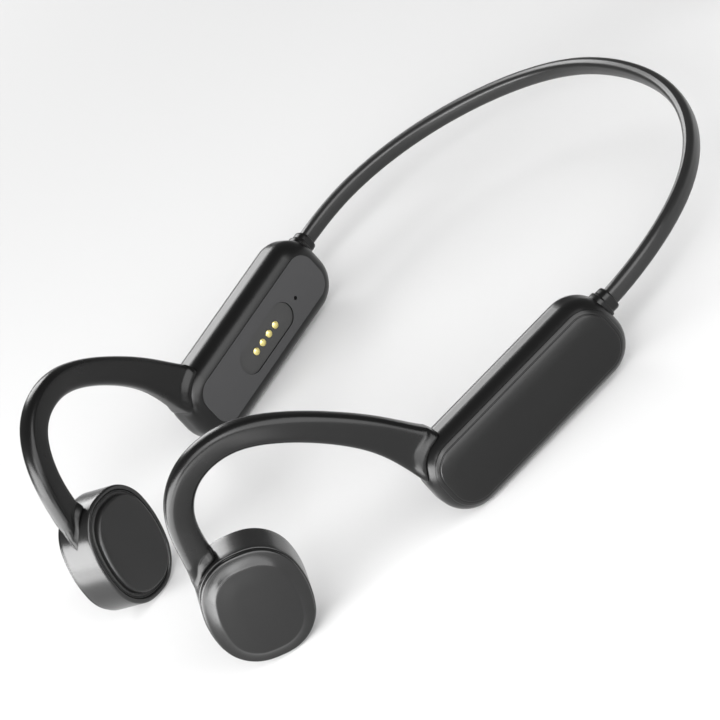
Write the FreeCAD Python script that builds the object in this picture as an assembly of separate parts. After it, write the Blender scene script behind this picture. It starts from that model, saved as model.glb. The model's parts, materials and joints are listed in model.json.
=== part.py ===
import FreeCAD, Part
import math
import os

# Bone conduction headphones: a neckband with a battery pod behind the left ear, an
# electronics pod behind the right ear, and an ear hook from each pod to a transducer
# that sits on the cheekbone.
#
# All lengths are in millimetres.  The wearer faces -Y, the wearer's left is +X and up
# is +Z.  The origin is on the plane of symmetry, halfway front to back, at the level
# of the table that the two transducers and the front corners of the two pods rest on.
# Every piece of the right side is the mirror image of the left side's piece.

V = FreeCAD.Vector
ORIGIN = V(0, 0, 0)
X_AXIS = V(1, 0, 0)
Y_AXIS = V(0, 1, 0)
Z_AXIS = V(0, 0, 1)

os.makedirs("parts", exist_ok=True)

# ---- Pods ---------------------------------------------------------------------
pod_length = 48.5
pod_height = 17.8
pod_thickness = 10.6
pod_corner = 7.4          # rounding of the pod's outline, seen from the side
pod_edge_round = 4.3      # rounding from the outline over to the two flat faces
pod_toe_in = 10.5         # degrees, front ends turned towards the head
pod_nose_down = 1.7       # degrees
pod_side_offset = 53.7    # middle of the pod from the plane of symmetry
pod_set_back = -6.0
face_wall = 1.2
side_wall = 1.4
plateau_rise = 0.15       # crisp-edged flat panel on the face towards the head
plateau_margin = 3.4
split_level = 4.2         # the outer cover meets the body this far from the middle
lip_level = 3.0
lip_margin = 2.6
seal_margin = 1.8
seal_width = 0.5
seal_depth = 0.45
fit_gap = 0.05            # between glued or gasketed neighbours
slide_gap = 0.06          # around each button

# ---- Neckband and its collars ---------------------------------------------------
band_height = 3.6
band_thickness = 2.8
band_round = 1.1
band_root_height = 2.3    # above the middle of the pod
band_root_side = 0.4      # outward of the middle of the pod
core_radius = 0.45
core_rise = 0.85          # spring wire above the neckband's centre-line
cable_radius = 0.6
cable_drop = 0.75         # cable below the neckband's centre-line
channel_gap = 0.02
flange_height = 5.6
flange_thickness = 4.7
flange_round = 1.6
flange_edge_round = 0.5
flange_start = 22.2       # along the pod, from its middle
flange_end = 25.4
ring_height = 4.4
ring_thickness = 3.6
ring_round = 1.4
ring_end = 26.5
band_start = 25.7

# ---- Ear hooks --------------------------------------------------------------------
hook_width = 5.7
hook_thickness = 4.2
hook_round = 1.7
pod_flare = 4.6           # extra width where the hook meets the pod
pod_flare_reach = 7.5
pod_flare_thickness = 1.6
pod_flare_tilt = 24.0     # degrees, turns the hook's root to face the pod's corner
tip_flare = 1.3           # extra width where the hook meets the transducer
tip_flare_reach = 4.0
hook_sections = 17
hook_core_radius = 0.5
hook_core_shift = 1.25    # spring wire towards the outside of the bend
hook_cable_radius = 0.6
hook_cable_shift = 1.15   # cable towards the inside of the bend

# ---- Transducers ------------------------------------------------------------------
shell_long = 24.7
shell_wide = 21.4
shell_corner = 9.3        # tight arcs of the oval, whose sides are bowed arcs
shell_corner_y = 1.0      # centre of a tight arc
shell_corner_z = 3.0
shell_inner_rim = -4.15   # towards the head
shell_outer_rim = 4.0
shell_wall = 1.2
shell_rim_round = 0.6
shell_yaw = 26.5          # degrees
shell_lean = 15.0         # degrees, top leaning back
shell_side_offset = 29.1
shell_set_back = -64.05
cap_height = 2.2
cap_round = 2.1
cap_margin = 0.25
cap_skin = 1.1
skirt_depth = 1.2
skirt_width = 0.9
boss_radius = 4.0
pad_face = -5.3
pad_back = -3.4
pad_margin = 2.1
pad_round = 0.7
surround_front = -3.9
surround_back = -3.5
ledge_front = -2.6
ledge_back = -1.9
ledge_width = 0.9
spring_thickness = 0.2
spring_ring_width = 1.0
spring_leg_width = 2.0
spring_hole_radius = 5.85
plate_radius = 5.6
plate_back = -2.9
coil_inner_radius = 4.75
coil_outer_radius = 5.75
coil_back = 0.2
yoke_radius = 7.2
yoke_bore_radius = 6.0
yoke_front = -0.6
yoke_floor = 2.8
yoke_back = 3.6
magnet_radius = 4.4
magnet_front = 0.4
top_plate_radius = 4.5
top_plate_front = -0.4

# ---- Right pod: charging panel, buttons and electronics ---------------------------
panel_length = 18.4
panel_height = 6.0
panel_recess = 0.35
panel_middle = 0.4
panel_drop = 0.5
panel_flange = 1.0
panel_flange_depth = 0.6
contact_pitch = 2.5
contact_count = 4
contact_head_radius = 0.85
contact_pin_radius = 0.5
contact_head_depth = 0.4
contact_proud = 0.05
magnet_disc_radius = 1.4
magnet_disc_spacing = 13.0
magnet_disc_depth = 1.2
microphone_hole = 0.45
microphone_position = 11.9
microphone_drop = 0.6
microphone_side = 2.8
microphone_depth = 1.0
mesh_depth = 0.15
board_length = 39.0
board_height = 10.4
board_corner = 4.8
board_rise = 1.0
board_inner = -2.0
board_outer = -1.2
chip_thickness = 0.9
radio_side = 5.5
radio_position = 4.0
power_side = 4.0
power_position = -5.0
antenna_length = 7.0
antenna_width = 2.0
antenna_depth = 1.0
antenna_position = 13.0
antenna_rise = 3.5
button_length = 4.9
button_width = 3.0
button_pitch = 5.6
button_middle = 0.6
button_proud = 0.25
button_lip = 0.3          # catches inside the wall at both ends of a button
button_lip_depth = 0.5
button_round = 0.2
switch_travel_gap = 0.35
switch_board_thickness = 0.6
switch_side = 3.0
switch_height = 1.1
plunger_radius = 0.7
plunger_height = 0.5

# ---- Left pod: battery ------------------------------------------------------------
battery_length = 33.0
battery_height = 11.0
battery_inner = -3.9
battery_outer = 2.5
battery_round = 1.2
guard_length = 2.6
guard_height = 8.0
guard_thickness = 0.8
foam_length = 28.0
foam_height = 9.0


# ---- Shapes drawn in a local frame: X outward, Y to the back, Z up ------------------
def rounded_outline(length, height, corner, level, y=0.0, z=0.0):
    """Closed rounded rectangle in the plane X = level."""
    half_l = length / 2 - corner
    half_h = height / 2 - corner
    bow = corner * math.sqrt(0.5)
    arcs = []
    corners = ((1, 1), (-1, 1), (-1, -1), (1, -1))
    for number, (side_y, side_z) in enumerate(corners):
        centre = V(level, y + side_y * half_l, z + side_z * half_h)
        along_y = centre + V(0, side_y * corner, 0)
        along_z = centre + V(0, 0, side_z * corner)
        middle = centre + V(0, side_y * bow, side_z * bow)
        first, last = (along_y, along_z) if number % 2 == 0 else (along_z, along_y)
        arcs.append((first, middle, last))
    edges = []
    for number, (first, middle, last) in enumerate(arcs):
        edges.append(Part.Arc(first, middle, last).toShape())
        following = arcs[(number + 1) % len(arcs)][0]
        if last.distanceToPoint(following) > 1e-6:
            edges.append(Part.makeLine(last, following))
    return Part.Wire(edges)


def slab(length, height, corner, low, high, y=0.0, z=0.0):
    """Rounded rectangle made solid between X = low and X = high."""
    face = Part.Face(rounded_outline(length, height, corner, low, y, z))
    return face.extrude(V(high - low, 0, 0))


def disc(radius, low, high, y=0.0, z=0.0):
    """Round plate or pin along X."""
    return Part.makeCylinder(radius, high - low, V(low, y, z), X_AXIS)


def edges_at(shape, level):
    """Edges that lie wholly in the plane X = level."""
    tolerance = 1e-4
    found = []
    for edge in shape.Edges:
        box = edge.BoundBox
        if abs(box.XMin - level) < tolerance and abs(box.XMax - level) < tolerance:
            found.append(edge)
    return found


def rounded_at(shape, level, radius):
    return shape.makeFillet(radius, edges_at(shape, level))


def inset_slab(margin, low, high):
    """Slab with the pod's outline drawn in by a margin."""
    inner_corner = pod_corner - margin
    return slab(pod_length - 2 * margin, pod_height - 2 * margin, inner_corner, low, high)


def bow_radius(half, ahead, aside):
    """Radius of the bowed side that runs smoothly into the tight arcs at its two ends."""
    tight = shell_corner ** 2 - (half - ahead) ** 2 - aside ** 2
    return tight / (2 * (ahead - half + shell_corner))


def oval_outline(margin, level):
    """The transducer's outline, drawn in by a margin, in the plane X = level."""
    half_wide = shell_wide / 2
    half_long = shell_long / 2
    side_bow = bow_radius(half_wide, shell_corner_y, shell_corner_z)
    end_bow = bow_radius(half_long, shell_corner_z, shell_corner_y)
    first = math.atan2(shell_corner_z, shell_corner_y - half_wide + side_bow)
    last = math.atan2(shell_corner_z - half_long + end_bow, shell_corner_y)
    middle = (first + last) / 2
    corner = shell_corner - margin

    def corner_point(side_y, side_z, angle):
        y = side_y * (shell_corner_y + corner * math.cos(angle))
        z = side_z * (shell_corner_z + corner * math.sin(angle))
        return V(level, y, z)

    edges = []
    corners = ((1, 1), (-1, 1), (-1, -1), (1, -1))
    for number, (side_y, side_z) in enumerate(corners):
        next_y, next_z = corners[(number + 1) % len(corners)]
        start, end = (first, last) if number % 2 == 0 else (last, first)
        arc_start = corner_point(side_y, side_z, start)
        arc_middle = corner_point(side_y, side_z, middle)
        arc_end = corner_point(side_y, side_z, end)
        following = corner_point(next_y, next_z, end)
        if side_y == next_y:
            bow_middle = V(level, side_y * (half_wide - margin), 0)
        else:
            bow_middle = V(level, 0, side_z * (half_long - margin))
        edges.append(Part.Arc(arc_start, arc_middle, arc_end).toShape())
        edges.append(Part.Arc(arc_end, bow_middle, following).toShape())
    return Part.Wire(edges)


def inset_shell_slab(margin, low, high):
    """Slab with the transducer's outline drawn in by a margin."""
    face = Part.Face(oval_outline(margin, low))
    return face.extrude(V(high - low, 0, 0))


# ---- Placing the local frames in the whole part --------------------------------------
nose_down = FreeCAD.Rotation(X_AXIS, pod_nose_down)
toe_in = FreeCAD.Rotation(Z_AXIS, -pod_toe_in)
pod_turn = toe_in.multiply(nose_down)
slope = math.radians(pod_nose_down)
corner_centre_drop = (pod_height / 2 - pod_corner) * math.cos(slope)
corner_centre_dip = (pod_length / 2 - pod_corner) * math.sin(slope)
pod_rise = pod_corner + corner_centre_drop + corner_centre_dip
pod_place = FreeCAD.Placement(V(pod_side_offset, pod_set_back, pod_rise), pod_turn)

lean_back = FreeCAD.Rotation(X_AXIS, -shell_lean)
shell_turn = FreeCAD.Rotation(Z_AXIS, -shell_yaw).multiply(lean_back)
lean = math.radians(shell_lean)
end_drop = shell_corner_z * math.cos(lean)
side_drop = shell_corner_y * math.sin(lean)
shell_rise = shell_corner + end_drop + side_drop
shell_place = FreeCAD.Placement(V(shell_side_offset, shell_set_back, shell_rise), shell_turn)


def placed(shape, placement):
    moved = shape.copy()
    moved.Placement = placement.multiply(moved.Placement)
    return moved


def in_pod(shape):
    return placed(shape, pod_place)


def in_shell(shape):
    return placed(shape, shell_place)


def mirrored(shape):
    return shape.mirror(ORIGIN, X_AXIS)


def save(name, shape):
    shape.exportStep("parts/" + name + ".step")


def save_pair(name, shape):
    save(name + "_left", shape)
    save(name + "_right", mirrored(shape))


# ---- Curved routes -------------------------------------------------------------------
def smooth_curve(points):
    curve = Part.BSplineCurve()
    curve.interpolate(points)
    return curve


def stretch(curve, start, end):
    """The part of a curve between two distances along it."""
    first = curve.parameterAtDistance(start, curve.FirstParameter)
    last = curve.parameterAtDistance(end, curve.FirstParameter)
    return Part.Wire([curve.toShape(first, last)])


def tube(wire, radius):
    """Round bar that follows a wire."""
    edge = wire.Edges[0]
    start = edge.valueAt(edge.FirstParameter)
    direction = edge.tangentAt(edge.FirstParameter)
    ring = Part.Wire([Part.makeCircle(radius, start, direction)])
    return wire.makePipeShell([ring], True, False)


def upright_bar(wire, height, thickness, corner):
    """Bar of rounded rectangular section that follows a wire and stays upright."""
    edge = wire.Edges[0]
    start = edge.valueAt(edge.FirstParameter)
    ahead = edge.tangentAt(edge.FirstParameter)
    section = rounded_outline(thickness, height, corner, 0)
    heading = FreeCAD.Rotation(X_AXIS, V(ahead.x, ahead.y, 0))
    section.Placement = FreeCAD.Placement(start, heading)
    pipe = Part.BRepOffsetAPI.MakePipeShell(wire)
    pipe.setBiNormalMode(Z_AXIS)
    pipe.add(section)
    pipe.build()
    pipe.makeSolid()
    return pipe.shape()


# ---- Neckband --------------------------------------------------------------------------
band_half = [
    pod_place.multVec(V(band_root_side, 20.0, band_root_height)),
    pod_place.multVec(V(band_root_side, 27.0, band_root_height)),
    V(59.3, 30.4, 13.0),
    V(53.1, 49.3, 13.3),
    V(39.5, 63.6, 13.6),
    V(21.4, 72.1, 14.5),
]
band_rear = V(0, 74.5, 15.5)


def band_curve(rise):
    left = [point + V(0, 0, rise) for point in band_half]
    right = [V(-point.x, point.y, point.z) for point in reversed(left)]
    return smooth_curve(left + [band_rear + V(0, 0, rise)] + right)


middle_curve = band_curve(0)
band_total = middle_curve.length()
jacket_offset = band_start - 20.0
jacket_wire = stretch(middle_curve, jacket_offset, band_total - jacket_offset)
core_curve = band_curve(core_rise)
core_wire = stretch(core_curve, 0, core_curve.length())
cable_curve = band_curve(-cable_drop)
cable_wire = stretch(cable_curve, 0, cable_curve.length())

band_core = tube(core_wire, core_radius)
band_cable = tube(cable_wire, cable_radius)
core_channel = tube(core_wire, core_radius + channel_gap)
cable_channel = tube(cable_wire, cable_radius + channel_gap)
band_solid = upright_bar(jacket_wire, band_height, band_thickness, band_round)
band_jacket = band_solid.cut(core_channel).cut(cable_channel)
save("band_jacket", band_jacket)
save("band_core", band_core)
save("band_cable", band_cable)


def bar_along_pod(height, thickness, corner, start, end):
    """Rounded bar along the pod at the level of the neckband."""
    lying = rounded_at(slab(thickness, height, corner, start, end), end, flange_edge_round)
    lying.rotate(ORIGIN, Z_AXIS, 90)
    lying.translate(V(band_root_side, 0, band_root_height))
    return lying


flange = bar_along_pod(flange_height, flange_thickness, flange_round, flange_start, flange_end)
ring = bar_along_pod(ring_height, ring_thickness, ring_round, flange_start, ring_end)
collar_bore_wire = stretch(middle_curve, jacket_offset, band_total / 4)
grown_height = band_height + 2 * channel_gap
grown_thickness = band_thickness + 2 * channel_gap
collar_bore = upright_bar(collar_bore_wire, grown_height, grown_thickness, band_round)
collar_solid = in_pod(flange.fuse(ring).removeSplitter())
collar = collar_solid.cut(collar_bore).cut(core_channel).cut(cable_channel)
save_pair("band_collar", collar)

# ---- Ear hook ----------------------------------------------------------------------------
hook_points = [
    V(50.1, -24.7, 12.1),
    V(49.3, -25.9, 15.5),
    V(47.6, -29.8, 24.3),
    V(45.1, -35.5, 32.2),
    V(41.9, -42.2, 38.9),
    V(37.6, -50.1, 43.3),
    V(33.1, -58.6, 42.5),
    V(29.2, -64.7, 35.7),
    V(27.9, -67.5, 24.1),
    V(28.3, -67.5, 20.4),
]
hook_curve = smooth_curve(hook_points)
hook_total = hook_curve.length()
root_length = 4.0         # buried part of the curve inside the pod
pod_out = pod_turn.multVec(X_AXIS)
shell_out = shell_turn.multVec(X_AXIS)


def hook_frame(distance):
    """Point, direction, direction across the width and outward direction on the hook."""
    parameter = hook_curve.parameterAtDistance(distance, hook_curve.FirstParameter)
    point = hook_curve.value(parameter)
    ahead = V(*hook_curve.tangent(parameter)[0])
    share = distance / hook_total
    outward = pod_out * (1 - share) + shell_out * share
    outward = outward - ahead * outward.dot(ahead)
    outward.normalize()
    past_root = max(distance - root_length, 0)
    tilt = pod_flare_tilt * math.exp(-past_root / pod_flare_reach)
    ahead = FreeCAD.Rotation(outward, tilt).multVec(ahead)
    across = ahead.cross(outward)
    across.normalize()
    return point, ahead, across, outward


def hook_section(distance):
    point, ahead, across, outward = hook_frame(distance)
    past_root = max(distance - root_length, 0)
    to_tip = max(hook_total - root_length - distance, 0)
    flare = math.exp(-past_root / pod_flare_reach)
    width = hook_width + pod_flare * flare + tip_flare * math.exp(-to_tip / tip_flare_reach)
    thickness = hook_thickness + pod_flare_thickness * flare
    section = rounded_outline(width, thickness, hook_round, 0)
    turn = FreeCAD.Rotation(ahead, across, outward, "XYZ")
    section.Placement = FreeCAD.Placement(point, turn)
    return section


def hook_line(shift, start, end):
    """Route inside the hook, moved across its width by a distance."""
    points = []
    for number in range(hook_sections):
        distance = start + (end - start) * number / (hook_sections - 1)
        point, ahead, across, outward = hook_frame(distance)
        points.append(point + across * shift)
    curve = smooth_curve(points)
    return stretch(curve, 0, curve.length())


sections = []
for number in range(hook_sections):
    sections.append(hook_section(hook_total * number / (hook_sections - 1)))
hook_solid = Part.makeLoft(sections, True, False)

core_line = hook_line(hook_core_shift, 0, hook_total)
cable_line = hook_line(-hook_cable_shift, 0, hook_total)
hook_core = tube(core_line, hook_core_radius)
hook_cable = tube(cable_line, hook_cable_radius)
hook_core_channel = tube(core_line, hook_core_radius + channel_gap)
hook_cable_channel = tube(cable_line, hook_cable_radius + channel_gap)

pod_block = slab(pod_length, pod_height, pod_corner, -pod_thickness / 2, pod_thickness / 2)
pod_block = rounded_at(pod_block, -pod_thickness / 2, pod_edge_round)
pod_block = rounded_at(pod_block, pod_thickness / 2, pod_edge_round)

shell_block = inset_shell_slab(0, shell_inner_rim, shell_outer_rim)
shell_block = rounded_at(shell_block, shell_inner_rim, shell_rim_round)

hook_sleeve = hook_solid.cut(in_pod(pod_block)).cut(in_shell(shell_block))
hook_sleeve = hook_sleeve.cut(hook_core_channel).cut(hook_cable_channel)
save_pair("hook_sleeve", hook_sleeve)
save_pair("hook_core", hook_core)
save_pair("hook_cable", hook_cable)

# ---- Pod body, cover and gasket ------------------------------------------------------------
inner_face = -pod_thickness / 2
cavity_floor = inner_face + face_wall
cavity = inset_slab(side_wall, cavity_floor, lip_level)
cavity = rounded_at(cavity, cavity_floor, pod_edge_round - side_wall)
mouth = inset_slab(lip_margin, lip_level - 1, split_level)
seal_floor = split_level - seal_depth
groove = inset_slab(seal_margin - fit_gap, seal_floor, split_level)
groove = groove.cut(inset_slab(seal_margin + seal_width + fit_gap, seal_floor, split_level))
plateau_corner = pod_corner - plateau_margin
plateau_length = pod_length - 2 * plateau_margin
plateau_height = pod_height - 2 * plateau_margin
plateau_top = inner_face - plateau_rise
plateau = slab(plateau_length, plateau_height, plateau_corner, plateau_top, inner_face + fit_gap)

above_split = slab(pod_length * 2, pod_height * 2, 1, split_level, pod_thickness)
pod_shell = pod_block.fuse(plateau).cut(above_split)
pod_shell = pod_shell.cut(cavity).cut(mouth).cut(groove)
pod_body = in_pod(pod_shell).cut(collar_solid)
pod_body = pod_body.cut(hook_core_channel).cut(hook_cable_channel)

skirt_outer = lip_margin + fit_gap
skirt = inset_slab(skirt_outer, lip_level, split_level)
skirt = skirt.cut(inset_slab(skirt_outer + 0.8, lip_level, split_level))
pod_cover = pod_block.common(above_split).fuse(skirt).removeSplitter()

gasket = inset_slab(seal_margin, seal_floor + fit_gap, split_level)
gasket = gasket.cut(inset_slab(seal_margin + seal_width, seal_floor + fit_gap, split_level))

save("pod_body_left", pod_body)
save_pair("pod_cover", in_pod(pod_cover))
save_pair("pod_gasket", in_pod(gasket))

# ---- Charging panel, contacts and magnets (right pod) ----------------------------------------
panel_corner = panel_height / 2
panel_face = plateau_top + panel_recess
panel_back = cavity_floor + panel_flange_depth


def panel_slab(extra, low, high):
    length = panel_length + 2 * extra
    height = panel_height + 2 * extra
    return slab(length, height, height / 2, low, high, panel_middle, -panel_drop)


panel_window = panel_slab(fit_gap, plateau_top - 1, cavity_floor)
panel = panel_slab(0, panel_face, cavity_floor)
panel = panel.fuse(panel_slab(panel_flange, cavity_floor, panel_back)).removeSplitter()

contact_ys = []
for number in range(contact_count):
    contact_ys.append(panel_middle + (number - (contact_count - 1) / 2) * contact_pitch)

contacts = []
for y in contact_ys:
    head_back = panel_face + contact_head_depth
    head = disc(contact_head_radius, panel_face - contact_proud, head_back, y, -panel_drop)
    pin = disc(contact_pin_radius, panel_face, board_inner, y, -panel_drop)
    contacts.append(head.fuse(pin).removeSplitter())
    hole = disc(contact_head_radius + channel_gap, plateau_top, head_back, y, -panel_drop)
    bore = disc(contact_pin_radius + channel_gap, plateau_top, panel_back, y, -panel_drop)
    panel = panel.cut(hole).cut(bore)

magnet_discs = []
for side in (-1, 1):
    y = panel_middle + side * magnet_disc_spacing / 2
    low = panel_back - panel_flange_depth
    magnet_discs.append(disc(magnet_disc_radius, low, low + magnet_disc_depth, y, -panel_drop))
    pocket = disc(magnet_disc_radius + channel_gap, low, panel_back, y, -panel_drop)
    panel = panel.cut(pocket)

save("charge_panel", mirrored(in_pod(panel)))
save("charge_contacts", mirrored(in_pod(Part.makeCompound(contacts))))
save("charge_magnets", mirrored(in_pod(Part.makeCompound(magnet_discs))))

# ---- Buttons, switches and boards (right pod) ---------------------------------------
pod_bottom = -pod_height / 2
cavity_bottom = pod_bottom + side_wall
button_names = ("button_volume_down", "button_mode", "button_volume_up")


def pill(length, width, low, high, y):
    """Upright pill-shaped peg between two heights, its long side along the pod."""
    lying = slab(length, width, width / 2, low, high)
    lying.rotate(ORIGIN, Y_AXIS, -90)
    lying.translate(V(0, y, 0))
    return lying


def edges_at_height(shape, level):
    """Edges that lie wholly at one height."""
    tolerance = 1e-4
    found = []
    for edge in shape.Edges:
        box = edge.BoundBox
        if abs(box.ZMin - level) < tolerance and abs(box.ZMax - level) < tolerance:
            found.append(edge)
    return found


button_outer = pod_bottom - button_proud
lip_low = cavity_bottom + fit_gap
button_inner = lip_low + button_lip_depth
plunger_low = button_inner + switch_travel_gap
case_low = plunger_low + plunger_height
switch_board_low = case_low + switch_height
button_holes = []
switches = []
for number, name in enumerate(button_names):
    y = button_middle + (number - 1) * button_pitch
    peg = pill(button_length, button_width, button_outer, button_inner, y)
    peg = peg.makeFillet(button_round, edges_at_height(peg, button_outer))
    lip_length = button_length + 2 * button_lip
    lip = pill(lip_length, button_width, lip_low, button_inner, y)
    save(name, mirrored(in_pod(peg.fuse(lip).removeSplitter())))
    hole_length = button_length + 2 * slide_gap
    hole_width = button_width + 2 * slide_gap
    button_holes.append(pill(hole_length, hole_width, button_outer - 1, lip_low, y))
    plunger = Part.makeCylinder(plunger_radius, plunger_height, V(0, y, plunger_low), Z_AXIS)
    case_corner = V(-switch_side / 2, y - switch_side / 2, case_low)
    case = Part.makeBox(switch_side, switch_side, switch_height, case_corner)
    switches.append(plunger.fuse(case).removeSplitter())

strip_length = 2 * button_pitch + switch_side + 1
strip_corner = V(-switch_side / 2, button_middle - strip_length / 2, switch_board_low)
switch_board = Part.makeBox(switch_side, strip_length, switch_board_thickness, strip_corner)
save("switches", mirrored(in_pod(Part.makeCompound(switches))))
save("switch_board", mirrored(in_pod(switch_board)))


def block(size_x, size_y, size_z, low_x, y, z):
    """Box from X = low_x, centred on y and z."""
    return Part.makeBox(size_x, size_y, size_z, V(low_x, y - size_y / 2, z - size_z / 2))


main_board = slab(board_length, board_height, board_corner, board_inner, board_outer, 0, board_rise)
radio_chip = block(chip_thickness, radio_side, radio_side, board_outer, radio_position, board_rise)
power_chip = block(chip_thickness, power_side, power_side, board_outer, power_position, board_rise)
antenna = block(antenna_depth, antenna_length, antenna_width, board_outer, antenna_position, antenna_rise)
microphone_low = board_inner - microphone_depth
microphone = block(
    microphone_depth,
    microphone_side,
    microphone_side,
    microphone_low,
    microphone_position,
    -microphone_drop,
)
mesh_radius = 2 * microphone_hole
mesh = disc(mesh_radius, cavity_floor, cavity_floor + mesh_depth, microphone_position, -microphone_drop)
save("main_board", mirrored(in_pod(main_board)))
save("radio_chip", mirrored(in_pod(radio_chip)))
save("power_chip", mirrored(in_pod(power_chip)))
save("antenna", mirrored(in_pod(antenna)))
save("microphone", mirrored(in_pod(microphone)))
save("microphone_mesh", mirrored(in_pod(mesh)))

sound_hole = disc(microphone_hole, plateau_top - 1, cavity_floor, microphone_position, -microphone_drop)
right_body = pod_body.cut(in_pod(panel_window)).cut(in_pod(sound_hole))
for hole in button_holes:
    right_body = right_body.cut(in_pod(hole))
save("pod_body_right", mirrored(right_body))

# ---- Battery (left pod) ---------------------------------------------------------------
battery = slab(battery_length, battery_height, battery_round, battery_inner, battery_outer)
guard_middle = battery_length / 2 + fit_gap + guard_length / 2
guard = block(guard_thickness, guard_length, guard_height, 0, guard_middle, 0)
foam = slab(foam_length, foam_height, battery_round, battery_outer + fit_gap, split_level - fit_gap)
save("battery", in_pod(battery))
save("battery_guard", in_pod(guard))
save("battery_foam", in_pod(foam))

# ---- Transducers ------------------------------------------------------------------------
shell_ring = shell_block.cut(inset_shell_slab(shell_wall, shell_inner_rim, shell_outer_rim))
ledge = inset_shell_slab(shell_wall - fit_gap, ledge_front, ledge_back)
ledge = ledge.cut(inset_shell_slab(shell_wall + ledge_width, ledge_front, ledge_back))
shell = in_shell(shell_ring.fuse(ledge).removeSplitter())
shell = shell.cut(hook_core_channel).cut(hook_cable_channel)
save_pair("transducer_shell", shell)

cap_top = shell_outer_rim + cap_height
cap_inside = cap_top - cap_skin
skirt_margin = shell_wall + fit_gap
skirt_low = shell_outer_rim - skirt_depth
cap = inset_shell_slab(cap_margin, shell_outer_rim, cap_top)
cap = rounded_at(cap, cap_top, cap_round)
cap = cap.fuse(inset_shell_slab(skirt_margin, skirt_low, shell_outer_rim))
cap = cap.cut(inset_shell_slab(skirt_margin + skirt_width, skirt_low, cap_inside))
cap = cap.fuse(disc(boss_radius, yoke_back, cap_inside)).removeSplitter()
save_pair("transducer_cap", in_shell(cap))

pad = inset_shell_slab(pad_margin, pad_face, pad_back)
pad = rounded_at(pad, pad_face, pad_round)
save_pair("contact_pad", in_shell(pad))

surround = inset_shell_slab(shell_wall + fit_gap, surround_front, surround_back)
surround = surround.cut(inset_shell_slab(pad_margin - fit_gap, surround_front, surround_back))
save_pair("pad_surround", in_shell(surround))

spring_front = ledge_front - spring_thickness
spring_edge = shell_wall + fit_gap
spring = inset_shell_slab(spring_edge, spring_front, ledge_front)
spring = spring.cut(inset_shell_slab(spring_edge + spring_ring_width, spring_front, ledge_front))
inner_ring = disc(spring_hole_radius + spring_ring_width, spring_front, ledge_front)
spring_leg = slab(shell_wide / 2, spring_leg_width, 0.5, spring_front, ledge_front, shell_wide / 4)
spring_limit = inset_shell_slab(spring_edge, spring_front, ledge_front)
spring = spring.fuse(inner_ring)
for turn in (30, 150, 270):
    leg = spring_leg.copy()
    leg.rotate(ORIGIN, X_AXIS, turn)
    spring = spring.fuse(leg.common(spring_limit))
spring = spring.cut(disc(spring_hole_radius, spring_front, ledge_front)).removeSplitter()
save_pair("drive_spring", in_shell(spring))

save_pair("drive_plate", in_shell(disc(plate_radius, pad_back, plate_back)))
coil = disc(coil_outer_radius, plate_back, coil_back)
coil = coil.cut(disc(coil_inner_radius, plate_back, coil_back))
save_pair("voice_coil", in_shell(coil))
yoke = disc(yoke_radius, yoke_front, yoke_back)
yoke = yoke.cut(disc(yoke_bore_radius, yoke_front, yoke_floor))
save_pair("yoke", in_shell(yoke))
save_pair("drive_magnet", in_shell(disc(magnet_radius, magnet_front, yoke_floor)))
save_pair("top_plate", in_shell(disc(top_plate_radius, top_plate_front, magnet_front)))
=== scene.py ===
import bmesh
import bpy
import json
import math
import numpy as np
from mathutils import Matrix, Vector


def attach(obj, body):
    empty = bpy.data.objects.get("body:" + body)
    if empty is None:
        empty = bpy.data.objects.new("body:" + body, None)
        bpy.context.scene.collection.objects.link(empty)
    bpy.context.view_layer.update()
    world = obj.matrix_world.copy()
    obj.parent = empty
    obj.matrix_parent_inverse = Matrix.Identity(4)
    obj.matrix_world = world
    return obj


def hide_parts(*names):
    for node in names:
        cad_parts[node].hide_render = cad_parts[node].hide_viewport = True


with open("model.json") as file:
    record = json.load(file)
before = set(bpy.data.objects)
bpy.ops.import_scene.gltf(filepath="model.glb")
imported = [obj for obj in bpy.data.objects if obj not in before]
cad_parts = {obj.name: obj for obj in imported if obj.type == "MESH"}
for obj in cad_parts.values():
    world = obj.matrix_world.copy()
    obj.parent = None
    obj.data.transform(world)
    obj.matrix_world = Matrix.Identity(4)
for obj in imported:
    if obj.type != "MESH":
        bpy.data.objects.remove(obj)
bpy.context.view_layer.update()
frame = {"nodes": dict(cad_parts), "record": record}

# Shapes are worked out in millimetres, as the CAD's are, and scaled to metres at the end.
MM = 0.001


# ---- Local frames: X outward, Y to the back, Z up -------------------------------------
def local_frame(place, yaw, pitch):
    """Place of a pod or transducer, from its middle and its turns in degrees."""
    turn = Matrix.Rotation(math.radians(yaw), 4, "Z") @ Matrix.Rotation(math.radians(pitch), 4, "X")
    return Matrix.Translation(place) @ turn


pod_frame = local_frame((53.7, -6.0, 9.399), -10.5, 1.7)
shell_frame = local_frame((29.1, -64.05, 12.4566), -26.5, -15.0)
pod_outward = pod_frame.to_3x3() @ Vector((1, 0, 0))
shell_outward = shell_frame.to_3x3() @ Vector((1, 0, 0))
MIRROR = Matrix.Scale(-1, 4, (1, 0, 0))    # the right side is the left side mirrored
SIDES = (("left", Matrix.Identity(4)), ("right", MIRROR))


# ---- Mesh building ---------------------------------------------------------------------
def skin(name, rings, material, body, replaced=(), place=None, looped=False):
    """One closed piece from rings of points; looped joins the last ring to the first."""
    return skins(name, [rings], material, body, replaced, place, looped)


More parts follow.
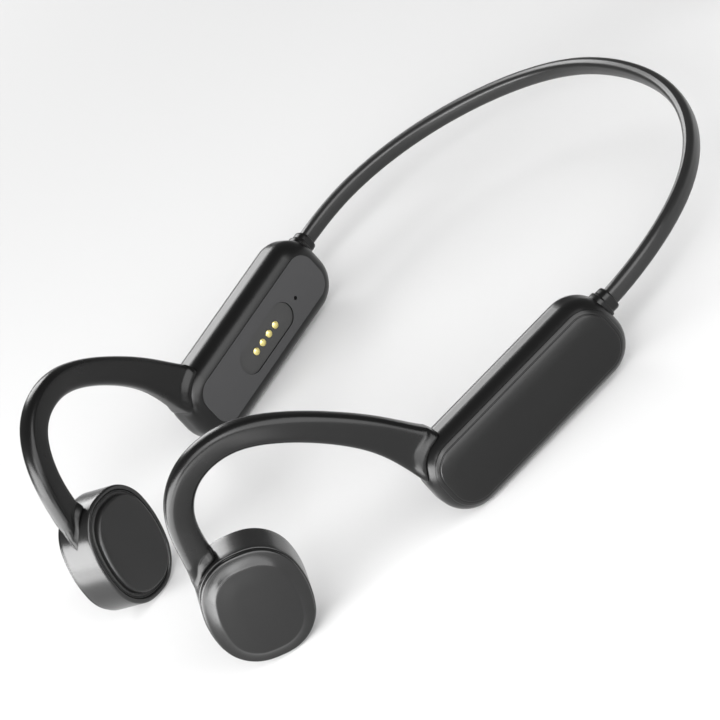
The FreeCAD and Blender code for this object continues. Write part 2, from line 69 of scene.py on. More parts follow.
def skins(name, groups, material, body, replaced=(), place=None, looped=False):
    """One piece from several groups of rings, each a closed solid."""
    place = place or Matrix.Identity(4)
    mesh = bpy.data.meshes.new(name)
    build = bmesh.new()
    for rings in groups:
        rows = [[build.verts.new(place @ point * MM) for point in ring] for ring in rings]
        pairs = list(zip(rows, rows[1:]))
        if looped:
            pairs.append((rows[-1], rows[0]))
        else:
            build.faces.new(rows[0])
            build.faces.new(rows[-1])
        for low, high in pairs:
            for k in range(len(low)):
                build.faces.new((low[k - 1], low[k], high[k], high[k - 1]))
    bmesh.ops.recalc_face_normals(build, faces=build.faces)
    for face in build.faces:
        face.smooth = True
    build.to_mesh(mesh)
    build.free()
    mesh.materials.append(material)
    made = bpy.data.objects.new(name, mesh)
    bpy.context.scene.collection.objects.link(made)
    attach(made, body)
    if replaced:
        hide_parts(*replaced)
    return made


def arc(centre_m, centre_x, radius, start, end, steps):
    """Points (margin, level) on an arc; 0 degrees points to smaller margins, 90 to larger levels."""
    points = []
    for k in range(steps + 1):
        angle = math.radians(start + (end - start) * k / steps)
        points.append((centre_m - radius * math.cos(angle), centre_x + radius * math.sin(angle)))
    return points


def bezier(a, b, c, d, steps):
    """Points on a cubic curve from a to d, with handles b and c."""
    points = []
    for k in range(steps + 1):
        t = k / steps
        weights = ((1 - t) ** 3, 3 * t * (1 - t) ** 2, 3 * t * t * (1 - t), t ** 3)
        points.append(tuple(sum(w * p[axis] for w, p in zip(weights, (a, b, c, d))) for axis in (0, 1)))
    return points


def smoothstep(low, high, value):
    """0 below low, 1 above high, and a smooth rise between them."""
    t = min(max((value - low) / (high - low), 0.0), 1.0)
    return t * t * (3 - 2 * t)


# ---- Outlines --------------------------------------------------------------------------
OVAL_CORNER = 9.3
OVAL_CORNER_Y, OVAL_CORNER_Z = 1.0, 3.0
OVAL_SIDE_BOW, OVAL_END_BOW = 20.75, 19.3
OVAL_HALF_WIDE, OVAL_HALF_LONG = 10.7, 12.35
OVAL_POINTS = 144
# Angles where the side arc meets the corner arc, and the corner arc meets the end arc.
OVAL_FIRST = math.atan2(OVAL_CORNER_Z, OVAL_CORNER_Y - OVAL_HALF_WIDE + OVAL_SIDE_BOW)
OVAL_LAST = math.atan2(OVAL_CORNER_Z - OVAL_HALF_LONG + OVAL_END_BOW, OVAL_CORNER_Y)


def oval(margin, level):
    """The transducer's outline of eight arcs, drawn in by a margin, at X = level."""
    ring = []
    for k in range(OVAL_POINTS):
        angle = 2 * math.pi * k / OVAL_POINTS
        cosine, sine = math.cos(angle), math.sin(angle)
        quarter = math.atan2(abs(sine), abs(cosine))
        if quarter < OVAL_FIRST:
            y, z, radius = OVAL_HALF_WIDE - OVAL_SIDE_BOW, 0.0, OVAL_SIDE_BOW
        elif quarter > OVAL_LAST:
            y, z, radius = 0.0, OVAL_HALF_LONG - OVAL_END_BOW, OVAL_END_BOW
        else:
            y, z, radius = OVAL_CORNER_Y, OVAL_CORNER_Z, OVAL_CORNER
        reach = radius - margin
        along_y = math.copysign(y + reach * abs(cosine), cosine)
        along_z = math.copysign(z + reach * abs(sine), sine)
        ring.append(Vector((level, along_y, along_z)))
    return ring


def rounded_rectangle(length, height, corner, margin, level, steps=14):
    """Rounded rectangle, drawn in by a margin, at X = level."""
    ring = []
    radius = max(corner - margin, 0.05)
    half_y = length / 2 - margin - radius
    half_z = height / 2 - margin - radius
    for quarter, (side_y, side_z) in enumerate(((1, 1), (-1, 1), (-1, -1), (1, -1))):
        for k in range(steps + 1):
            angle = math.radians(90 * (quarter + k / steps))
            along = side_y * half_y + radius * math.cos(angle)
            up = side_z * half_z + radius * math.sin(angle)
            ring.append(Vector((level, along, up)))
    return ring


# ---- Curved routes -----------------------------------------------------------------------
class Route:
    """Smooth curve through some points, with positions and directions at a distance along it."""

    def __init__(self, points, samples=4000):
        places = np.array(points, dtype=float)
        knots = np.concatenate(([0.0], np.cumsum(np.linalg.norm(np.diff(places, axis=0), axis=1))))
        count = len(places)
        system = np.zeros((count, count))
        system[0, 0] = system[-1, -1] = 1.0
        target = np.zeros((count, 3))
        target[0] = self.end_slope(knots[:4], places[:4], knots[0])
        target[-1] = self.end_slope(knots[-4:], places[-4:], knots[-1])
        for k in range(1, count - 1):
            before, after = knots[k] - knots[k - 1], knots[k + 1] - knots[k]
            system[k, k - 1 : k + 2] = after, 2 * (before + after), before
            rise = after / before * (places[k] - places[k - 1])
            target[k] = 3 * (rise + before / after * (places[k + 1] - places[k]))
        slopes = np.linalg.solve(system, target)
        spots = np.linspace(knots[0], knots[-1], samples)
        index = np.clip(np.searchsorted(knots, spots) - 1, 0, count - 2)
        span = (knots[index + 1] - knots[index])[:, None]
        t = (spots - knots[index])[:, None] / span
        self.places = (
            (2 * t**3 - 3 * t**2 + 1) * places[index]
            + (t**3 - 2 * t**2 + t) * span * slopes[index]
            + (3 * t**2 - 2 * t**3) * places[index + 1]
            + (t**3 - t**2) * span * slopes[index + 1]
        )
        steps = np.linalg.norm(np.diff(self.places, axis=0), axis=1)
        self.distances = np.concatenate(([0.0], np.cumsum(steps)))
        self.length = float(self.distances[-1])

    @staticmethod
    def end_slope(knots, places, spot):
        """Slope at an end, from the cubic through the four points there."""
        cubics = [np.polyfit(knots, places[:, axis], 3) for axis in range(3)]
        return [np.polyval(np.polyder(cubic), spot) for cubic in cubics]

    def at(self, distance):
        return Vector([np.interp(distance, self.distances, self.places[:, axis]) for axis in range(3)])

    def ahead(self, distance):
        step = 0.05
        low, high = max(distance - step, 0.0), min(distance + step, self.length)
        return (self.at(high) - self.at(low)).normalized()


def bar_section(width, thickness, corner, crown, arc_steps=7, side_steps=4):
    """Rounded rectangle with slightly bowed sides, as (across, outward) pairs."""
    corner = min(corner, 0.49 * width, 0.49 * thickness)
    half_w, half_t = width / 2 - corner, thickness / 2 - corner
    signs = ((1, 1), (-1, 1), (-1, -1), (1, -1))
    corners = []
    for quarter, (side_w, side_t) in enumerate(signs):
        points = []
        for k in range(arc_steps + 1):
            angle = math.radians(90 * (quarter + k / arc_steps))
            points.append(
                (side_w * half_w + corner * math.cos(angle), side_t * half_t + corner * math.sin(angle))
            )
        corners.append(points)
    section = []
    for quarter, points in enumerate(corners):
        section += points
        (x0, y0), (x1, y1) = points[-1], corners[(quarter + 1) % 4][0]
        angle = math.radians(90 * (quarter + 1))
        for k in range(1, side_steps):
            t = k / side_steps
            bow = crown * 4 * t * (1 - t)
            section.append(
                (x0 + (x1 - x0) * t + bow * math.cos(angle), y0 + (y1 - y0) * t + bow * math.sin(angle))
            )
    return section


# ---- Materials ------------------------------------------------------------------------
def new_material(name):
    material = bpy.data.materials.new(name)
    material.use_nodes = True
    nodes = material.node_tree.nodes
    nodes.clear()
    return material, nodes, material.node_tree.links


def grey(value):
    return (value, value, value)


def moulded(name, dark, light, rough, rough_spread, grain, grain_height, wear=0.0, specular=0.5):
    """Moulded plastic or silicone: blotchy tint, uneven gloss, fine grain and paler worn edges."""
    material, nodes, links = new_material(name)
    output = nodes.new("ShaderNodeOutputMaterial")
    shader = nodes.new("ShaderNodeBsdfPrincipled")
    place = nodes.new("ShaderNodeTexCoord")
    links.new(shader.outputs["BSDF"], output.inputs["Surface"])

    blotch = nodes.new("ShaderNodeTexNoise")
    blotch.inputs["Scale"].default_value = 60.0
    blotch.inputs["Detail"].default_value = 5.0
    links.new(place.outputs["Object"], blotch.inputs["Vector"])
    tint = nodes.new("ShaderNodeMix")
    tint.data_type = "RGBA"
    tint.inputs["A"].default_value = (*dark, 1)
    tint.inputs["B"].default_value = (*light, 1)
    links.new(blotch.outputs["Fac"], tint.inputs["Factor"])

    edge = nodes.new("ShaderNodeNewGeometry")
    edge_band = nodes.new("ShaderNodeMapRange")
    edge_band.inputs["From Min"].default_value = 0.53
    edge_band.inputs["From Max"].default_value = 0.62
    edge_band.inputs["To Max"].default_value = wear
    links.new(edge.outputs["Pointiness"], edge_band.inputs["Value"])
    worn = nodes.new("ShaderNodeMix")
    worn.data_type = "RGBA"
    worn.inputs["B"].default_value = (*(min(c * 3.0 + 0.02, 1) for c in light), 1)
    links.new(tint.outputs["Result"], worn.inputs["A"])
    links.new(edge_band.outputs["Result"], worn.inputs["Factor"])
    links.new(worn.outputs["Result"], shader.inputs["Base Color"])

    smear = nodes.new("ShaderNodeTexNoise")
    smear.inputs["Scale"].default_value = 140.0
    smear.inputs["Detail"].default_value = 3.0
    smear.inputs["Roughness"].default_value = 0.65
    links.new(place.outputs["Object"], smear.inputs["Vector"])
    gloss = nodes.new("ShaderNodeMapRange")
    gloss.inputs["From Min"].default_value = 0.3
    gloss.inputs["From Max"].default_value = 0.7
    gloss.inputs["To Min"].default_value = rough - rough_spread
    gloss.inputs["To Max"].default_value = rough + rough_spread
    links.new(smear.outputs["Fac"], gloss.inputs["Value"])
    links.new(gloss.outputs["Result"], shader.inputs["Roughness"])

    fine = nodes.new("ShaderNodeTexNoise")
    fine.inputs["Scale"].default_value = grain
    fine.inputs["Detail"].default_value = 3.0
    links.new(place.outputs["Object"], fine.inputs["Vector"])
    bump = nodes.new("ShaderNodeBump")
    bump.inputs["Strength"].default_value = grain_height
    bump.inputs["Distance"].default_value = 0.00001
    links.new(fine.outputs["Fac"], bump.inputs["Height"])
    links.new(bump.outputs["Normal"], shader.inputs["Normal"])
    shader.inputs["Specular IOR Level"].default_value = specular
    return material


MATTE_AND_PAINTED_LIGHT_EDGE = 0.02         # width over which the matte finish and its painted light set in


def with_matte_and_painted_light_face(material, centre, outward, level, tint, rough):
    """Adds a matte finish, with a paler tint that is painted reflected light, to what lies beyond a level,
    in millimetres, along a direction.
    """
    nodes, links = material.node_tree.nodes, material.node_tree.links
    shader = next(node for node in nodes if node.type == "BSDF_PRINCIPLED")
    place = next(node for node in nodes if node.type == "TEX_COORD")
    offset = nodes.new("ShaderNodeVectorMath")
    offset.operation = "SUBTRACT"
    offset.inputs[1].default_value = centre * MM
    links.new(place.outputs["Object"], offset.inputs[0])
    along = nodes.new("ShaderNodeVectorMath")
    along.operation = "DOT_PRODUCT"
    along.inputs[1].default_value = outward
    links.new(offset.outputs["Vector"], along.inputs[0])
    beyond = nodes.new("ShaderNodeMapRange")
    beyond.inputs["From Min"].default_value = (level - MATTE_AND_PAINTED_LIGHT_EDGE) * MM
    beyond.inputs["From Max"].default_value = level * MM
    links.new(along.outputs["Value"], beyond.inputs["Value"])
    # Painted light: the paler tint stands in for light reflected onto the face, while the raised roughness
    # is the matte finish.
    for kind, socket, value in (("RGBA", "Base Color", (*tint, 1)), ("FLOAT", "Roughness", rough)):
        mix = nodes.new("ShaderNodeMix")
        mix.data_type = kind
        mix.inputs["B"].default_value = value
        links.new(shader.inputs[socket].links[0].from_socket, mix.inputs["A"])
        links.new(beyond.outputs["Result"], mix.inputs["Factor"])
        links.new(mix.outputs["Result"], shader.inputs[socket])
    return material


def metal(name, tint, rough, grain=1500.0, grain_height=0.15):
    """Metal with a faint mottle in its tint, gloss and surface."""
    material, nodes, links = new_material(name)
    output = nodes.new("ShaderNodeOutputMaterial")
    shader = nodes.new("ShaderNodeBsdfPrincipled")
    place = nodes.new("ShaderNodeTexCoord")
    links.new(shader.outputs["BSDF"], output.inputs["Surface"])
    shader.inputs["Metallic"].default_value = 1.0
    streak = nodes.new("ShaderNodeTexNoise")
    streak.inputs["Scale"].default_value = grain
    streak.inputs["Detail"].default_value = 4.0
    links.new(place.outputs["Object"], streak.inputs["Vector"])
    colour = nodes.new("ShaderNodeMix")
    colour.data_type = "RGBA"
    colour.inputs["A"].default_value = (*(c * 0.8 for c in tint), 1)
    colour.inputs["B"].default_value = (*tint, 1)
    links.new(streak.outputs["Fac"], colour.inputs["Factor"])
    links.new(colour.outputs["Result"], shader.inputs["Base Color"])
    gloss = nodes.new("ShaderNodeMapRange")
    gloss.inputs["To Min"].default_value = rough * 0.7
    gloss.inputs["To Max"].default_value = rough * 1.3
    links.new(streak.outputs["Fac"], gloss.inputs["Value"])
    links.new(gloss.outputs["Result"], shader.inputs["Roughness"])
    bump = nodes.new("ShaderNodeBump")
    bump.inputs["Strength"].default_value = grain_height
    bump.inputs["Distance"].default_value = 0.00003
    links.new(streak.outputs["Fac"], bump.inputs["Height"])
    links.new(bump.outputs["Normal"], shader.inputs["Normal"])
    return material


# Tints, roughness and its spread, grain scale and height, worn edges, gloss.
POD_FINISH = (grey(0.002), grey(0.004), 0.29, 0.015, 6000, 0.1, 0.04, 0.34)
pod_black = moulded("pod_satin_black", *POD_FINISH)
cover_black = moulded("cover_satin_black", grey(0.002), grey(0.004), 0.29, 0.015, 6000, 0.1, 0.0, 0.34)
shell_black = moulded("shell_satin_black", grey(0.006), grey(0.009), 0.24, 0.012, 6000, 0.06, 0.0, 0.52)
hook_black = moulded("hook_silicone_black", grey(0.002), grey(0.004), 0.26, 0.02, 4500, 0.1, 0.03, 0.29)
band_black = moulded("band_silicone_black", grey(0.008), grey(0.012), 0.32, 0.02, 4500, 0.2, 0.03, 0.46)
pad_black = moulded("pad_silicone_black", grey(0.005), grey(0.009), 0.38, 0.02, 4000, 0.4, 0.03, 0.4)
cap_black = moulded("cap_satin_black", grey(0.002), grey(0.003), 0.26, 0.012, 6000, 0.06, 0.0, 0.5)
panel_black = moulded("panel_black", grey(0.024), grey(0.03), 0.5, 0.03, 6000, 0.1, 0.05, 0.4)
dark_rubber = moulded("seal_rubber", grey(0.010), grey(0.016), 0.6, 0.05, 3000, 0.3)
board_green = moulded("board_mask", (0.008, 0.05, 0.025), (0.012, 0.07, 0.035), 0.35, 0.05, 2500, 0.2)
chip_black = moulded("chip_resin", (0.02, 0.02, 0.022), (0.03, 0.03, 0.033), 0.5, 0.08, 4000, 0.3)
ceramic = moulded("antenna_ceramic", (0.6, 0.6, 0.56), (0.7, 0.7, 0.66), 0.4, 0.05, 3000, 0.1)
foam_grey = moulded("foam_grey", grey(0.05), grey(0.1), 0.9, 0.05, 2000, 0.9)
gold = metal("contact_gold", (1.0, 0.86, 0.34), 0.32)
steel = metal("spring_steel", (0.62, 0.62, 0.64), 0.28)
iron = metal("soft_iron", (0.42, 0.42, 0.44), 0.4)
nickel = metal("magnet_nickel", (0.75, 0.74, 0.7), 0.15)
copper = metal("coil_copper", (0.85, 0.42, 0.25), 0.3)
foil = metal("battery_foil", (0.75, 0.76, 0.78), 0.35)

by_slot = {
    "neckband_silicone": band_black,
    "hook_silicone": hook_black,
    "spring_wire": steel,
    "cable_sheath": dark_rubber,
    "collar_plastic": pod_black,
    "pod_plastic": pod_black,
    "cover_plastic": cover_black,
    "gasket_rubber": dark_rubber,
    "shell_plastic": shell_black,
    "cap_plastic": cap_black,
    "pad_silicone": pad_black,
    "surround_rubber": dark_rubber,
    "spring_steel": steel,
    "coil_copper": copper,
    "soft_iron": iron,
    "magnet_nickel": nickel,
    "panel_plastic": panel_black,
    "contact_gold": gold,
    "button_plastic": pod_black,
    "switch_case": chip_black,
    "circuit_board": board_green,
    "chip_resin": chip_black,
    "antenna_ceramic": ceramic,
    "microphone_can": steel,
    "battery_foil": foil,
    "foam": foam_grey,
}
slot_of = {entry["node"]: entry["material_slot"] for entry in frame["record"]["subparts"]}
for name, node in frame["nodes"].items():
    node.data.materials.clear()
    node.data.materials.append(by_slot[slot_of[name]])
MATTE_AND_PAINTED_LIGHT_LEVEL = 5.38        # just under the pod's inner face, inward of the pod's middle
# Each pod's inner face gets a matte finish and a paler tint. The tint is painted light, standing in for
# light reflected onto that face.
for side, flip in SIDES:
    matte_and_painted_light = moulded("pod_matte_and_painted_light_inside_" + side, *POD_FINISH)
    centre, outward = flip @ pod_frame.translation, flip.to_3x3() @ pod_outward
    with_matte_and_painted_light_face(matte_and_painted_light, centre, -outward, MATTE_AND_PAINTED_LIGHT_LEVEL, (0.034, 0.034, 0.035), 0.5)
    frame["nodes"]["pod_body_" + side].data.materials[0] = matte_and_painted_light

# ---- Neckband ------------------------------------------------------------------------------
BAND_HEIGHT, BAND_THICKNESS, BAND_ROUND, BAND_CROWN = 3.6, 2.8, 1.1, 0.07
BAND_TUCK = 5.7           # how far along its route the neckband comes out of the collar's bore
BAND_RINGS = 230

band_half = [
    pod_frame @ Vector((0.4, 20.0, 2.3)),
    pod_frame @ Vector((0.4, 27.0, 2.3)),
    Vector((59.3, 30.4, 13.0)),
    Vector((53.1, 49.3, 13.3)),
    Vector((39.5, 63.6, 13.6)),
    Vector((21.4, 72.1, 14.5)),
]
band_back = Vector((0, 74.5, 15.5))
band_route = Route([*band_half, band_back, *(MIRROR @ point for point in reversed(band_half))])
band_rings = []
for number in range(BAND_RINGS + 1):
    travelled = (band_route.length - 2 * BAND_TUCK) * number / BAND_RINGS
    distance = BAND_TUCK + travelled
    centre, ahead = band_route.at(distance), band_route.ahead(distance)
    outward = ahead.cross(Vector((0, 0, 1))).normalized()
    up = outward.cross(ahead)
    from_end = min(travelled, band_route.length - 2 * BAND_TUCK - travelled)
    crown = BAND_CROWN * smoothstep(1.0, 6.0, from_end)    # flat where it enters the collar
    section = bar_section(BAND_HEIGHT, BAND_THICKNESS, BAND_ROUND, crown)
    band_rings.append([centre + up * a + outward * o for a, o in section])
skin("neckband", band_rings, band_black, "headset", ["band_jacket"])

# ---- Collars -------------------------------------------------------------------------------
COLLAR_SIDE, COLLAR_RISE = 0.4, 2.3       # outward of and above the pod's middle
COLLAR_SIZE = (5.6, 4.7, 1.7)             # height, thickness, corner
COLLAR_DRAW = (2.0, 1.6, 0.5)             # what a profile's drawn-in size takes off each of these
COLLAR_BORE = (3.66, 2.86, 1.1)
COLLAR_CROWN = 0.03
# (distance along the pod, size drawn in)
collar_profile = [(22.3, 0.0), (23.4, 0.0), (24.2, 0.0), (24.42, 0.05), (24.55, 0.16), (24.62, 0.3)]
collar_profile += [(24.74, 0.37), (25.1, 0.38), (25.7, 0.39), (26.1, 0.43), (26.32, 0.55), (26.45, 0.75)]
collar_profile += [(26.5, 1.0)]


def collar_ring(size, along):
    section = bar_section(*size, COLLAR_CROWN)
    return [Vector((COLLAR_SIDE + o, along, COLLAR_RISE + a)) for a, o in section]


collar_rings = []
for along, drawn_in in collar_profile:
    size = [full - draw * drawn_in for full, draw in zip(COLLAR_SIZE, COLLAR_DRAW)]
    collar_rings.append(collar_ring(size, along))
for along in (26.45, 24.5, 22.3):
    collar_rings.append(collar_ring(COLLAR_BORE, along))
for side, flip in SIDES:
    names = ["band_collar_" + side]
    place = flip @ pod_frame
    skin("collar_" + side, collar_rings, pod_black, "headset", names, place, True)

# ---- Ear hooks -----------------------------------------------------------------------------
HOOK_WIDTH, HOOK_THICKNESS, HOOK_ROUND, HOOK_CROWN = 5.7, 4.2, 1.6, 0.03
# The hook widens, thickens and turns its section, in degrees, towards the pod.
ROOT_LENGTH, ROOT_FLARE, ROOT_FLARE_REACH = 4.0, 4.6, 7.5
ROOT_THICKER, ROOT_TILT = 1.6, 24.0
TIP_FLARE, TIP_FLARE_REACH, TIP_BURIED = 1.3, 4.0, 4.0
# Heights in the transducer's frame between which the hook thins to a wedge, and its last thickness.
WEDGE_TOP, WEDGE_FOOT, WEDGE_THIN = 12.0, 4.6, 0.7
# Raised rims where the hook meets the pod (bead) and the transducer (lip): height at the seam, full
# height, distance from the seam to full height, and length of the slope after it.
BEAD_BASE, BEAD_HEIGHT, BEAD_MIDDLE, BEAD_FADE = 0.45, 0.8, 0.55, 2.4
LIP_BASE, LIP_HEIGHT, LIP_MIDDLE, LIP_FADE = 0.0, 0.75, 0.5, 1.9
RAMP_EASE = 0.25          # share of a slope that bends at each of its ends
SEAM_DEPTH = 0.08         # how far the silicone goes under its neighbours' surfaces
HOOK_RINGS = 150
RING_EASE = 0.42          # how much closer the rings are at the ends, from 0 to 1
ROOT_ZONE, TIP_ZONE = 12.0, 17.0    # lengths over which the rings turn to follow the seams
SEAM_SEARCH = 12.0        # a seam is looked for within this distance of an end
POD_LENGTH, POD_HEIGHT = 48.5, 17.8
POD_HALF = Vector((5.3, POD_LENGTH / 2, POD_HEIGHT / 2))
POD_CORNER, POD_EDGE = 7.4, 4.3
SHELL_INNER, SHELL_OUTER = -4.15, 4.0

hook_points = [
    Vector((50.1, -24.7, 12.1)),
    Vector((49.3, -25.9, 15.5)),
    Vector((47.6, -29.8, 24.3)),
    Vector((45.1, -35.5, 32.2)),
    Vector((41.9, -42.2, 38.9)),
    Vector((37.6, -50.1, 43.3)),
    Vector((33.1, -58.6, 42.5)),
    Vector((29.2, -64.7, 35.7)),
    shell_frame @ Vector((0.47, -6.51, 10.31)),
    shell_frame @ Vector((-0.2, -6.5, 4.5)),
]
hook_route = Route(hook_points)
to_pod = pod_frame.inverted()
to_shell = shell_frame.inverted()
section_count = len(bar_section(HOOK_WIDTH, HOOK_THICKNESS, HOOK_ROUND, HOOK_CROWN))


def depth_in_pod(point):
    """Distance from the pod's rounded block, negative inside it."""
    local = to_pod @ point
    out_y = max(abs(local.y) - POD_HALF.y + POD_CORNER, 0)
    out_z = max(abs(local.z) - POD_HALF.z + POD_CORNER, 0)
    outline = math.hypot(out_y, out_z) - POD_CORNER + POD_EDGE
    face = abs(local.x) - POD_HALF.x + POD_EDGE
    return math.hypot(max(outline, 0), max(face, 0)) + min(max(outline, face), 0) - POD_EDGE


def depth_in_shell(point):
    """Distance from the transducer's wall, negative inside it."""
    local = to_shell @ point
    y, z = abs(local.y), abs(local.z)
    angle = math.atan2(z - OVAL_CORNER_Z, y - OVAL_CORNER_Y)
    if angle < OVAL_FIRST:
        side = math.hypot(y - OVAL_HALF_WIDE + OVAL_SIDE_BOW, z) - OVAL_SIDE_BOW
    elif angle > OVAL_LAST:
        side = math.hypot(y, z - OVAL_HALF_LONG + OVAL_END_BOW) - OVAL_END_BOW
    else:
        side = math.hypot(y - OVAL_CORNER_Y, z - OVAL_CORNER_Z) - OVAL_CORNER
    return max(side, SHELL_INNER - local.x, local.x - SHELL_OUTER)


def hook_point(distance, k, swell):
    """Point k of the hook's section at a distance along it, pushed out by a swelling."""
    centre, ahead = hook_route.at(distance), hook_route.ahead(distance)
    share = distance / hook_route.length
    outward = pod_outward * (1 - share) + shell_outward * share
    outward = (outward - ahead * outward.dot(ahead)).normalized()
    past_root = max(distance - ROOT_LENGTH, 0)
    flare = math.exp(-past_root / ROOT_FLARE_REACH)
    ahead = Matrix.Rotation(math.radians(ROOT_TILT * flare), 3, outward) @ ahead
    across = ahead.cross(outward).normalized()
    to_tip = max(hook_route.length - TIP_BURIED - distance, 0)
    width = HOOK_WIDTH + ROOT_FLARE * flare + TIP_FLARE * math.exp(-to_tip / TIP_FLARE_REACH)
    height = (to_shell @ centre).z
    wedge = min(max((height - WEDGE_FOOT) / (WEDGE_TOP - WEDGE_FOOT), 0), 1) if share > 0.5 else 1
    thickness = HOOK_THICKNESS + ROOT_THICKER * flare
    thickness = WEDGE_THIN + (thickness - WEDGE_THIN) * wedge
    section = bar_section(width, thickness + 2 * swell, HOOK_ROUND, HOOK_CROWN)
    a, o = section[k]
    return centre + across * a + outward * o


def crossing(k, outside, inside, depth, swell):
    """Distance along the hook where line k of its surface goes under a neighbour's."""
    for _ in range(22):
        middle = (outside + inside) / 2
        if depth(hook_point(middle, k, swell)) > -SEAM_DEPTH:
            outside = middle
        else:
            inside = middle
    return outside


def bead(away, base, height, middle, fade):
    """Rounded rim that stands up at once from a seam and slopes down away from it."""
    if away < middle:
        return base + (height - base) * math.sqrt(max(1 - ((middle - away) / middle) ** 2, 0))
    t = (away - middle) / fade
    if t < RAMP_EASE:
        return height * (1 - t * t / (2 * RAMP_EASE * (1 - RAMP_EASE)))
    if t < 1 - RAMP_EASE:
        return height * (1 - (t - RAMP_EASE / 2) / (1 - RAMP_EASE))
    if t < 1:
        return height * (1 - t) ** 2 / (2 * RAMP_EASE * (1 - RAMP_EASE))
    return 0.0


hook_end = hook_route.length
lines = range(section_count)
root_seams = [crossing(k, SEAM_SEARCH, 0.0, depth_in_pod, BEAD_BASE) for k in lines]
tip_seams = [crossing(k, hook_end - SEAM_SEARCH, hook_end, depth_in_shell, LIP_BASE) for k in lines]
root_mean = sum(root_seams) / section_count
tip_end = max(tip_seams)
run = tip_end - root_mean
hook_rings = []
for number in range(HOOK_RINGS + 1):
    t = number / HOOK_RINGS
    station = run * (t - RING_EASE / (2 * math.pi) * math.sin(2 * math.pi * t))
    near_root = 1 - smoothstep(0, ROOT_ZONE, station)
    near_tip = smoothstep(run - TIP_ZONE, run, station)
    ring = []
    for k in lines:
        distance = root_mean + station
        distance += (root_seams[k] - root_mean) * near_root + (tip_seams[k] - tip_end) * near_tip
        swell = bead(distance - root_seams[k], BEAD_BASE, BEAD_HEIGHT, BEAD_MIDDLE, BEAD_FADE)
        swell += bead(tip_seams[k] - distance, LIP_BASE, LIP_HEIGHT, LIP_MIDDLE, LIP_FADE)
        ring.append(hook_point(distance, k, swell))
    hook_rings.append(ring)
for side, flip in SIDES:
    names = ["hook_sleeve_" + side]
    skin("ear_hook_" + side, hook_rings, hook_black, "headset", names, flip)

# ---- Transducers ---------------------------------------------------------------------------
# Profiles are (margin, level) pairs: in from the outline, and outward along the local X.
shell_profile = arc(0.55, -3.6, 0.55, -90, 0, 8)
shell_profile += [(0.0, x) for x in (-2.4, -1.2, 0.0, 1.2, 2.4)]
shell_profile += arc(0.22, 3.78, 0.22, 0, 90, 5)
shell_profile += [(0.9, 4.0), (1.2, 3.8), (1.2, 0.0), (1.2, -3.4)] + arc(0.6, -3.55, 0.6, 180, 262, 8)

cap_profile = [(6.8, 3.9), (0.7, 3.9), (0.55, 4.0), (0.4, 4.07), (0.29, 4.22), (0.25, 4.42)]
cap_profile += bezier((0.25, 4.42), (0.25, 4.75), (0.35, 4.96), (0.65, 5.04), 7)[1:]
cap_profile += bezier((0.65, 5.04), (1.4, 5.2), (2.1, 5.48), (2.7, 5.98), 9)[1:]
cap_profile += bezier((2.7, 5.98), (2.85, 6.08), (2.95, 6.12), (3.25, 6.13), 6)[1:]
cap_profile += [(3.8, 6.16), (4.5, 6.21), (5.2, 6.26), (6.0, 6.31), (6.8, 6.35)]

surround_profile = [(1.21, -3.45), (1.21, -3.88)] + arc(1.64, -3.92, 0.33, 20, 160, 8)
surround_profile += [(2.05, -3.88), (2.05, -3.45)]
pad_profile = [(6.6, -3.4), (2.4, -3.4), (2.16, -3.5), (2.1, -3.7), (2.1, -4.1)]
pad_profile += arc(2.8, -4.6, 0.7, 0, -90, 9)
pad_profile += [(3.2, -5.32), (4.0, -5.345), (5.5, -5.365), (6.6, -5.37)]

for side, flip in SIDES:
    place = flip @ shell_frame
    wall = [oval(margin, level) for margin, level in shell_profile]
    names = ["transducer_shell_" + side]
    skin("shell_wall_" + side, wall, shell_black, "headset", names, place, True)
    crown = [oval(margin, level) for margin, level in cap_profile]
    names = ["transducer_cap_" + side]
    skin("soft_cap_" + side, crown, cap_black, "headset", names, place)
    roll = [oval(margin, level) for margin, level in surround_profile]
    names = ["pad_surround_" + side]
    skin("surround_roll_" + side, roll, dark_rubber, "headset", names, place, True)
    face = [oval(margin, level) for margin, level in pad_profile]
    names = ["contact_pad_" + side]
    pad = skin("soft_pad_" + side, face, pad_black, "pad_" + side, names, place)

# ---- Pod covers ------------------------------------------------------------------------------
# (margin, level) pairs from the parting face, over the fine groove, to the flat outer face.
cover_profile = [(2.6, 4.2), (1.45, 4.2)] + arc(4.3, 1.0, 4.3, 48.3, 61.0, 6)
cover_profile += [(2.27, 4.74), (2.35, 4.74), (2.42, 4.88)]
cover_profile += bezier((2.47, 4.93), (3.1, 5.22), (4.3, 5.3), (5.7, 5.3), 14)
cover_profile += [(6.3, 5.3), (7.0, 5.3)]
CROWN_RISE = 0.27         # extra height of the outer face towards its upper edge
CROWN_FROM, CROWN_TO = 2.3, 5.7        # margins between which it sets in
CROWN_LOW, CROWN_HIGH = -7.0, 3.0      # heights between which it sets in
CROWN_LEVEL = 4.5


def crowned(margin, level):
    """Ring of the cover; the face rises a little towards the upper edge of the pod."""
    ring = rounded_rectangle(POD_LENGTH, POD_HEIGHT, POD_CORNER, margin, level)
    if level > CROWN_LEVEL:
        for point in ring:
            upper = smoothstep(CROWN_LOW, CROWN_HIGH, point.z)
            point.x += CROWN_RISE * smoothstep(CROWN_FROM, CROWN_TO, margin) * upper
    return ring


for side, flip in SIDES:
    rings = [crowned(margin, level) for margin, level in cover_profile]
    names = ["pod_cover_" + side]
    place = flip @ pod_frame
    skin("cover_" + side, rings, cover_black, "headset", names, place)

# ---- Charging contacts -------------------------------------------------------------------------
CONTACT_PITCH, CONTACT_STEPS = 2.5, 40
CONTACT_MIDDLE, CONTACT_RISE = 0.4, -0.5      # along the pod and above its middle
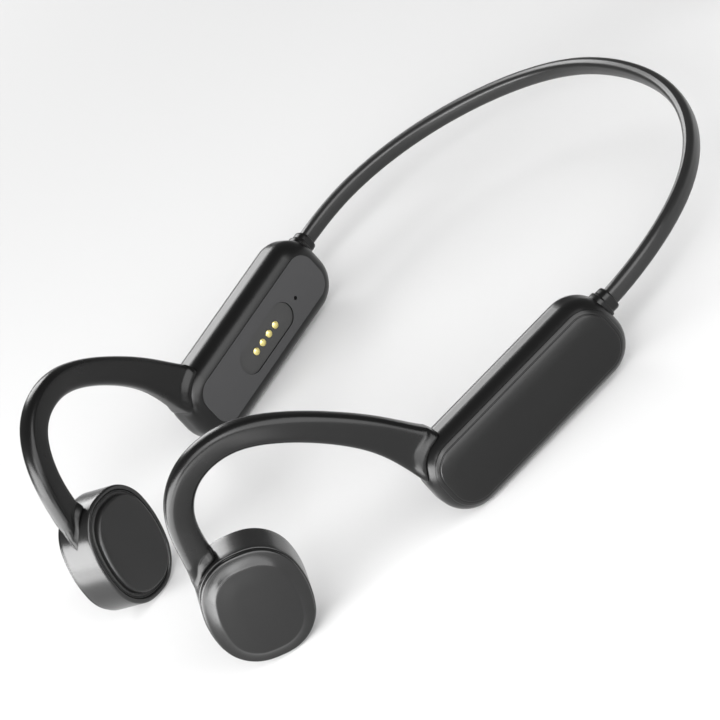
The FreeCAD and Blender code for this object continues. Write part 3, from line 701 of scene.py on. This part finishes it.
# (radius, level) pairs of one domed pin.
contact_profile = [(0.5, -2.0), (0.5, -4.7), (0.85, -4.71), (0.85, -5.0), (0.82, -5.08), (0.76, -5.12)]
contact_profile += [(0.68, -5.13), (0.62, -5.16), (0.5, -5.22), (0.34, -5.27), (0.18, -5.295), (0.05, -5.3)]
pins = []
for number in range(4):
    middle = CONTACT_MIDDLE + (number - 1.5) * CONTACT_PITCH
    pin = []
    for radius, level in contact_profile:
        ring = []
        for k in range(CONTACT_STEPS):
            angle = 2 * math.pi * k / CONTACT_STEPS
            along, up = radius * math.cos(angle), radius * math.sin(angle)
            ring.append(Vector((level, middle + along, CONTACT_RISE + up)))
        pin.append(ring)
    pins.append(pin)
place = MIRROR @ pod_frame
skins("contact_pins", pins, gold, "headset", ["charge_contacts"], place)

# ---- Studio -----------------------------------------------------------------------------
floor_material, nodes, links = new_material("studio_floor")
output = nodes.new("ShaderNodeOutputMaterial")
shader = nodes.new("ShaderNodeBsdfPrincipled")
shader.inputs["Base Color"].default_value = (0.68, 0.68, 0.68, 1)
shader.inputs["Roughness"].default_value = 0.9
links.new(shader.outputs["BSDF"], output.inputs["Surface"])
floor_mesh = bpy.data.meshes.new("studio_floor")
FLOOR_REACH = 6.0         # metres from the middle to an edge
FLOOR_GAP = 0.0004        # metres below the object, so that no faces coincide
floor_corners = [(FLOOR_REACH * x, FLOOR_REACH * y, 0) for x, y in ((-1, -1), (1, -1), (1, 1), (-1, 1))]
floor_mesh.from_pydata(floor_corners, [], [(0, 1, 2, 3)])
floor_mesh.materials.append(floor_material)
floor = bpy.data.objects.new("studio_floor", floor_mesh)
floor.location.z = -FLOOR_GAP
bpy.context.scene.collection.objects.link(floor)


def area_light(name, azimuth, elevation, distance, width, height, radiance):
    """Soft rectangular light, sizes in metres, that faces the object from a direction in degrees."""
    light = bpy.data.lights.new(name, "AREA")
    light.shape = "RECTANGLE"
    light.size, light.size_y = width, height
    light.energy = radiance * math.pi * width * height
    lamp = bpy.data.objects.new(name, light)
    turn, rise = math.radians(azimuth), math.radians(elevation)
    level = math.cos(rise)
    towards = Vector((math.cos(turn) * level, math.sin(turn) * level, math.sin(rise)))
    lamp.location = towards * distance
    lamp.rotation_euler = (-towards).to_track_quat("-Z", "Y").to_euler()
    lamp.visible_camera = False
    bpy.context.scene.collection.objects.link(lamp)
    return lamp


area_light("softbox_front", -92, 14.5, 0.46, 0.52, 0.22, 12.5)
area_light("softbox_side", 3, 27, 0.9, 1.22, 0.78, 4.4)
area_light("softbox_corner", -42, 28, 0.8, 0.42, 0.5, 5.2)
area_light("softbox_back", 168, 26, 0.7, 0.26, 0.28, 6.5)
card = area_light("card_front", -95, 0.2, 0.27, 0.42, 0.28, 7.0)
card.rotation_euler = (math.pi, 0, 0)     # lies on the floor in front of the object and faces up

world = bpy.data.worlds.new("studio_world")
bpy.context.scene.world = world
world.use_nodes = True
background = world.node_tree.nodes["Background"]
background.inputs["Color"].default_value = (1, 1, 1, 1)
background.inputs["Strength"].default_value = 0.22

camera_data = bpy.data.cameras.new("photo_camera")
camera_data.lens = 210.3
camera_data.sensor_width = 36.0
camera_data.clip_start = 0.05
camera_data.clip_end = 20.0
camera = bpy.data.objects.new("photo_camera", camera_data)
camera.location = (0.72458, -0.24137, 0.38665)
camera.rotation_euler = (math.radians(57.115), math.radians(35.883), math.radians(51.372))
bpy.context.scene.collection.objects.link(camera)
bpy.context.scene.camera = camera
bpy.context.scene.view_settings.view_transform = "Standard"
